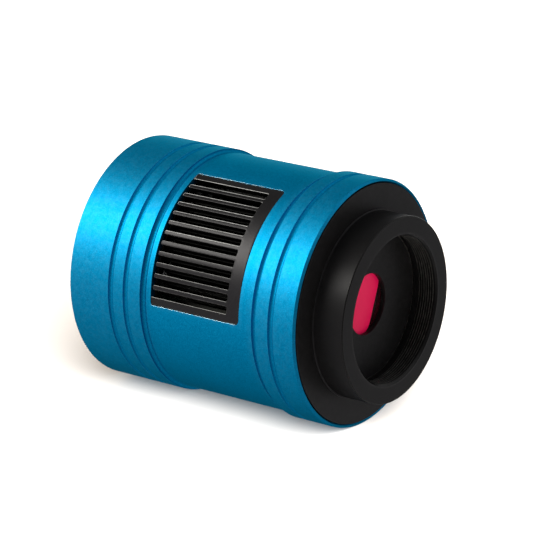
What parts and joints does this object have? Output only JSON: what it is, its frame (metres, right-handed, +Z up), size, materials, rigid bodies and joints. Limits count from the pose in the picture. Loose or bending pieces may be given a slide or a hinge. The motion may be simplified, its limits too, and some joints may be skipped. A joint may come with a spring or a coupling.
{
  "type": "cooled astronomy camera",
  "caption": "Cylindrical cooled astronomy camera with a grooved blue shell, slotted side vents, black front flange with a threaded adapter ring, round window and rear cooling fan.",
  "frame": {"origin": "centre of the front face of the T2 adapter, on the optical axis", "axes": "-Y is the way the camera looks, along the optical axis; +Z is up with the camera lying on its side on a table; +X is to the right seen from the front"},
  "size_m": [0.07, 0.0864, 0.07],
  "materials": {
    "blue_anodised": "bead-blasted and anodised bright blue, satin",
    "black_anodised": "black anodised, satin",
    "grille_black": "satin dark grey",
    "steel": "machined",
    "black_steel": "black oxide",
    "seal_rubber": "matte",
    "coated_window": "polished, pink-red anti-reflection coating",
    "clear_glass": "polished",
    "light_pipe": "moulded, clear",
    "silicon": "polished semiconductor",
    "ceramic": "fired ceramic",
    "board_green": "solder mask",
    "white_plastic": "machined engineering plastic",
    "flex_film": "polyimide film",
    "copper": "machined copper",
    "pad_grey": "soft thermal pad",
    "red_wire": "wire insulation",
    "black_wire": "wire insulation",
    "grey_wire": "ribbon insulation",
    "chip_black": "moulded epoxy",
    "fan_plastic": "glass-filled nylon",
    "magnet": "bonded ferrite",
    "usb_blue": "moulded",
    "black_plastic": "moulded"
  },
  "bodies": {
    "camera": {"body_shell": "blue_anodised", "front_flange": "black_anodised", "t2_adapter": "black_anodised", "vent_grille_upper": "grille_black", "vent_grille_lower": "grille_black", "grille_screws": "steel", "window_o_ring": "seal_rubber", "protective_window": "coated_window", "window_retainer": "black_anodised", "sensor_cover_glass": "clear_glass", "sensor_die": "silicon", "sensor_package": "ceramic", "sensor_board": "board_green", "sensor_board_spacers": "white_plastic", "insulating_frame": "white_plastic", "sensor_board_screws": "steel", "sensor_flex": "flex_film", "flex_sockets": "white_plastic", "cold_finger": "copper", "cold_side_pad": "pad_grey", "peltier_cold_plate": "ceramic", "peltier_elements": "silicon", "peltier_hot_plate": "ceramic", "hot_side_pad": "pad_grey", "peltier_leads": "red_wire", "desiccant_tablets": "white_plastic", "chamber_o_ring": "seal_rubber", "heat_sink": "black_anodised", "heat_sink_screws": "steel", "main_board": "board_green", "main_board_chips": "chip_black", "main_board_standoffs": "steel", "main_board_screws": "steel", "link_ribbon": "grey_wire", "tie_rods": "steel", "fan_frame": "fan_plastic", "fan_stator": "copper", "fan_bearings": "steel", "fan_lead": "black_wire", "fan_screws": "black_steel", "rear_board": "board_green", "rear_board_chips": "chip_black", "rear_board_posts": "steel", "rear_board_screws": "steel", "usb_socket": "steel", "usb_tongue": "usb_blue", "dc_jack": "black_plastic", "dc_jack_pin": "steel", "light_pipe": "light_pipe", "rear_cover": "black_anodised", "rear_cover_screws": "black_steel"},
    "rotor": {"fan_rotor": "fan_plastic", "fan_magnet": "magnet", "fan_shaft": "steel", "shaft_clip": "black_steel"}
  },
  "joints": [
    {"name": "fan_spin", "type": "hinge", "parent": "camera", "child": "rotor", "pos_m": [0.00453, 0.078, 0.00659], "axis": [0, -1, 0], "continuous": true}
  ]
}
